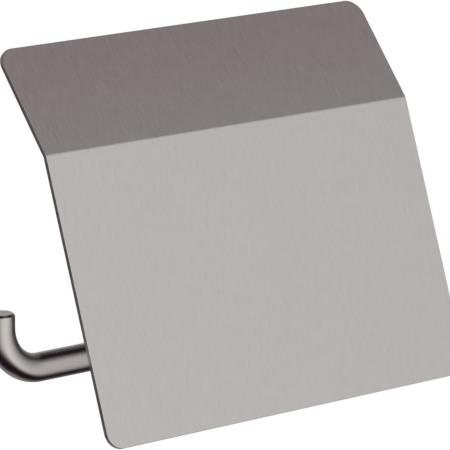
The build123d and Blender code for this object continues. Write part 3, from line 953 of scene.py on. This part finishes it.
# %% The bent bar
BEND_RADIUS = 13.0 * MM
BEND_STEPS = 28
BAR_SIDES = 96
HOLE_RADIUS = 2.52 * MM
HOLE_DEPTH = 10.6 * MM
KEY_RADIUS = 1.27 * MM
KEY_LENGTH = 7.5 * MM

bar = run_tree(
    bar_tree, "bent_bar", bar_path, bar_radius=BAR_RADIUS, bend_radius=BEND_RADIUS,
    end_chamfer=END_CHAMFER, bend_steps=BEND_STEPS, sides=BAR_SIDES,
    root=root, hole_radius=HOLE_RADIUS, hole_depth=HOLE_DEPTH,
    key_place=root - Vector((0, 0, BAR_RADIUS)), key_radius=KEY_RADIUS, key_length=KEY_LENGTH,
)
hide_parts("roll_bar")
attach(bar, "wall_unit")

# %% [markdown]
# ## Studs, nuts and washers
# Four short threaded studs are welded inside the top panel, and a washer and a nut on each hold the hinge
# leaf. All three shapes, and the bumpers too, are a profile taken round an axis, so one helper makes
# them. The profile may change with the angle, which is what turns a plain ring into a hexagon or a ramp.

# %% A profile round an axis


def around(name, columns, profile, closed=True):
    """A mesh from profile(angle), a list of (radius, height), taken round the Z axis in columns."""
    shell = bmesh.new()
    rings = []
    for column in range(columns):
        angle = 2 * pi * column / columns
        places = [(radius * cos(angle), radius * sin(angle), height) for radius, height in profile(angle)]
        rings.append([shell.verts.new(place) for place in places])
    count = len(rings[0])
    for column in range(columns):
        here, there = rings[column], rings[(column + 1) % columns]
        for row in range(count if closed else count - 1):
            after = (row + 1) % count
            shell.faces.new((here[row], there[row], there[after], here[after]))
    bmesh.ops.remove_doubles(shell, verts=shell.verts, dist=0.0005 * MM)
    bmesh.ops.recalc_face_normals(shell, faces=shell.faces)
    mesh = bpy.data.meshes.new(name)
    shell.to_mesh(mesh)
    shell.free()
    print(name, "faces:", len(mesh.polygons))
    return mesh


# %% [markdown]
# A nut is a hexagonal prism whose corners were turned away at 30 degrees, with the bore countersunk on
# both sides. At each angle round the axis, the prism's flat is a little nearer or further, and the
# chamfer drops by that much.

# %% Nut
STUD_RADIUS = 1.5 * MM
NUT_FLATS = 5.5 * MM
NUT_THICKNESS = 2.4 * MM
NUT_FACE = 0.96  # the flat face's size, as a share of the flats
NUT_CLEARANCE = 0.03 * MM
COUNTERSINK = 0.2 * MM


def nut_profile(angle):
    """Section of a hexagon nut at an angle: bore, countersinks, faces, corner chamfers and flat."""
    bore = STUD_RADIUS + NUT_CLEARANCE
    face = NUT_FLATS / 2 * NUT_FACE
    to_flat = (angle + pi / 6) % (pi / 3) - pi / 6
    flat = NUT_FLATS / 2 / cos(to_flat)
    drop = (flat - face) * tan(radians(30))
    top = NUT_THICKNESS
    return [
        (bore, COUNTERSINK), (bore + COUNTERSINK, 0), (face, 0), (flat, drop), (flat, top - drop),
        (face, top), (bore + COUNTERSINK, top), (bore, top - COUNTERSINK),
    ]


nut_mesh = around("nut", 72, nut_profile)

# %% [markdown]
# A washer is a stamped ring: the punch rolls the outer edge over on one side and shears it off almost
# sharp on the other. Its section is the same at every angle.

# %% Washer
WASHER_RADIUS = 3.2 * MM
WASHER_THICKNESS = 0.6 * MM
WASHER_CLEARANCE = 0.15 * MM
ROLLED_EDGE = 0.18 * MM
SHEARED_EDGE = 0.04 * MM


def washer_profile(angle):
    """Section of a stamped washer: one edge rolled, the other sheared."""
    bore = STUD_RADIUS + WASHER_CLEARANCE
    top = WASHER_THICKNESS
    rolled = []
    for step in reversed(range(5)):
        turn = radians(step * 22.5)
        rolled.append((WASHER_RADIUS - ROLLED_EDGE * (1 - sin(turn)), top - ROLLED_EDGE * (1 - cos(turn))))
    sheared = [(WASHER_RADIUS - SHEARED_EDGE, 0), (WASHER_RADIUS, SHEARED_EDGE)]
    return [(bore, 0), *sheared, *rolled, (bore, top)]


washer_mesh = around("washer", 64, washer_profile)

# %% [markdown]
# A thread is a ramp wound round a rod. The profile's wave is shifted by the angle, one pitch for a whole
# turn, so that the last column meets the first one pitch further on. The tip is tapered to start a nut.

# %% Threaded stud
STUD_LENGTH = 6.0 * MM
STUD_TIP = 0.30 * MM  # how much the tip is drawn in
THREAD_PITCH = 0.5 * MM
THREAD_DEPTH = 0.307 * MM
THREAD_CREST = 0.125  # the flat of a crest or a root, as a share of the wave
THREAD_STEPS = 10  # rows in one pitch


def thread_profile(angle):
    """Outline of a threaded stud at an angle, from its weld foot to its tip."""
    outline = [(0, 0)]
    step = THREAD_PITCH / THREAD_STEPS
    for index in range(round(STUD_LENGTH / step) + 1):
        height = index * step
        phase = (height / THREAD_PITCH - angle / (2 * pi)) % 1
        ramp = (abs(phase - 0.5) * 2 - THREAD_CREST) / (1 - 2 * THREAD_CREST)
        radius = STUD_RADIUS - THREAD_DEPTH * min(1.0, max(0.0, ramp))
        taper = STUD_RADIUS - STUD_TIP + (STUD_LENGTH - height)
        outline.append((min(radius, taper), height))
    return outline + [(0, STUD_LENGTH)]


stud_mesh = around("stud", 40, thread_profile, closed=False)

# %% [markdown]
# Identical fasteners are what instances are for. One Geometry Nodes tree takes loose points and sets a
# shape on each, with its Z axis along a direction, so moving a fastener means moving a point.

# %% Set a shape on points


def set_tree(name, material, sharp):
    """A tree that sets a shape on every point it is given, with its Z axis along a direction."""
    tree = Tree(name, shape=SHAPE, direction=VECTOR)
    shape = tree.node("GeometryNodeObjectInfo", {"Object": tree.size("shape")}).outputs["Geometry"]
    facing = tree.node(
        "FunctionNodeAlignRotationToVector", {"Vector": tree.size("direction")}, axis="Z",
    ).outputs[0]
    placed = tree.node(
        "GeometryNodeInstanceOnPoints",
        {"Points": tree.entry.outputs[0], "Instance": shape, "Rotation": facing},
    ).outputs[0]
    real = tree.node("GeometryNodeRealizeInstances", {"Geometry": placed}).outputs[0]
    end_tree(tree, real, material, sharp)
    return tree


def set_on_points(name, mesh, points, direction, finish, sharp=30.0):
    """Copies of a mesh on some points, as one plain mesh object."""
    places = bpy.data.meshes.new(name + "_places")
    places.from_pydata(points, [], [])
    pattern = bpy.data.objects.new(name + "_pattern", mesh)
    tree = set_tree("set_" + name, finish.material, sharp)
    piece = run_tree(tree, name, places, shape=pattern, direction=direction)
    bpy.data.objects.remove(pattern)
    return piece


print("ready: set_tree, set_on_points")

# %% [markdown]
# The studs stand on the inner face of the top panel. The leaf lies on that face, the washers lie on the
# leaf and the nuts on the washers, so each kind only differs in how far under the outer face it starts.

# %% The hardware on its four weld points
STUD_SPACING = 20.0 * MM
STUD_ROWS = (13.0 * MM, 22.0 * MM)  # down the top panel from its edge
LEAF = 1.5 * MM


def under_top(across, down, under):
    """Point under the top panel: across the width, down the panel, below its outer face."""
    return Vector((across, 0, 0)) + top_edge + down * top_down - under * top_out


weld_points = [(side * STUD_SPACING / 2, row) for side in (-1, 1) for row in STUD_ROWS]
for name, mesh, under, node_name in (
    ("threaded_studs", stud_mesh, SHEET, "cover_studs"),
    ("plain_washers", washer_mesh, SHEET + LEAF, "stud_washers"),
    ("hexagon_nuts", nut_mesh, SHEET + LEAF + WASHER_THICKNESS, "stud_nuts"),
):
    points = [under_top(across, down, under) for across, down in weld_points]
    piece = set_on_points(name, mesh, points, -top_out, turned)
    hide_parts(node_name)
    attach(piece, "cover")

# %% [markdown]
# ## The bumpers
# Two silicone bumpers stop the cover from ringing on the bar. Each is a moulded dot: a thin foot that
# glues to the sheet, a slightly drawn-in side, a rounded shoulder and a softly domed top.

# %% Bumper
PAD_RADIUS = 4.5 * MM
PAD_THICKNESS = 1.8 * MM
PAD_EDGE = 0.05 * MM  # the foot's broken edges
PAD_FOOT = 0.25 * MM
PAD_STEP = 0.15 * MM  # how much the side is drawn in above the foot
PAD_SLOPE = 0.06 * MM
PAD_SHOULDER = 0.7 * MM
SHOULDER_TURN = radians(80)
SHOULDER_STEPS = 8
PAD_DOME = 0.18 * MM
DOME_STEPS = 6


def bumper_profile(angle):
    """Section of a bumper from its glued face to the middle of its dome, the same at every angle."""
    body = PAD_RADIUS - PAD_STEP
    outline = [(0, 0), (PAD_RADIUS - PAD_EDGE, 0), (PAD_RADIUS, PAD_EDGE)]
    outline += [(PAD_RADIUS, PAD_FOOT - PAD_EDGE), (PAD_RADIUS - PAD_EDGE, PAD_FOOT)]
    outline.append((body, PAD_FOOT + PAD_SLOPE))
    level = PAD_THICKNESS - PAD_DOME
    for step in range(SHOULDER_STEPS + 1):
        turn = SHOULDER_TURN * step / SHOULDER_STEPS
        outline.append((body - PAD_SHOULDER * (1 - cos(turn)), level - PAD_SHOULDER * (1 - sin(turn))))
    rim, rim_height = outline[-1]
    for step in range(1, DOME_STEPS + 1):
        share = step / DOME_STEPS
        rise = (PAD_THICKNESS - rim_height) * sin(share * pi / 2)
        outline.append((rim * (1 - share), rim_height + rise))
    return outline


bumper_mesh = around("bumper", 72, bumper_profile, closed=False)

# %% [markdown]
# The bumpers sit inside the front panel, exactly where it faces the bar's axis. That place is found by
# measuring from the crease to the bar along the panel.

# %% The bumpers in place
PAD_PLACES = (-50.0 * MM, 30.0 * MM)  # across the cover

pad_along = (Vector((0, -BAR_REACH, bar_axis_z)) - crease).dot(front_down)
points = [crease + Vector((x, 0, 0)) + pad_along * front_down - SHEET * front_out for x in PAD_PLACES]
bumpers = set_on_points("silicone_bumpers", bumper_mesh, points, -front_out, silicone, sharp=40.0)
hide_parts("bumper_pads")
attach(bumpers, "cover")
print("bumpers", round(pad_along / MM, 2), "mm below the crease")

# %% [markdown]
# ## The floor
# The holder hangs on a wall, so the floor is a long way down: a plain pale disc that closes the picture
# from above. It glows by itself, so no shadow or lamp marks it, and it fades to the white of the backdrop
# at its rim. It can't be seen from underneath, and neither reflections nor soft light notice it.

# %% Floor
FLOOR_LEVEL = -0.60
FLOOR_RADIUS = 1.50
FLOOR_TONE = 0.84  # in the middle, and white at the rim
FADE_START = 0.3 * FLOOR_RADIUS
FADE_END = 0.97 * FLOOR_RADIUS


def floor_finish():
    """A pale glow that is seen from above only."""
    finish = Finish("pale_floor", (0, 0, 0), 0.0, 1.0)
    tone = finish.spread(from_axis(finish, "Z"), FLOOR_TONE, 1.0, FADE_START, FADE_END)
    plaster = finish.spread(finish.marks(finish.object_space(), (60.0, 60.0, 60.0), detail=3.0), 0.995, 1.0)
    glow = finish.node("ShaderNodeEmission")
    link(finish.tree, finish.product([tone, plaster]), glow.inputs["Color"])
    clear = finish.node("ShaderNodeBsdfTransparent")
    side = finish.node("ShaderNodeNewGeometry").outputs["Backfacing"]
    choose = finish.node("ShaderNodeMixShader")
    for socket, source in zip(choose.inputs, (side, glow.outputs[0], clear.outputs[0])):
        link(finish.tree, source, socket)
    link(finish.tree, choose.outputs[0], finish.tree.nodes["Material Output"].inputs["Surface"])
    return finish


def make_floor():
    """A pale disc far below the holder."""
    disc = bmesh.new()
    bmesh.ops.create_circle(disc, cap_ends=True, segments=96, radius=FLOOR_RADIUS)
    mesh = bpy.data.meshes.new("pale_floor")
    disc.to_mesh(mesh)
    disc.free()
    mesh.transform(Matrix.Translation((0, 0, FLOOR_LEVEL)))
    mesh.materials.append(floor_finish().material)
    floor = bpy.data.objects.new("pale_floor", mesh)
    floor.visible_glossy = False
    floor.visible_diffuse = False
    bpy.context.collection.objects.link(floor)
    return floor


floor = make_floor()
print("floor level (m):", FLOOR_LEVEL)
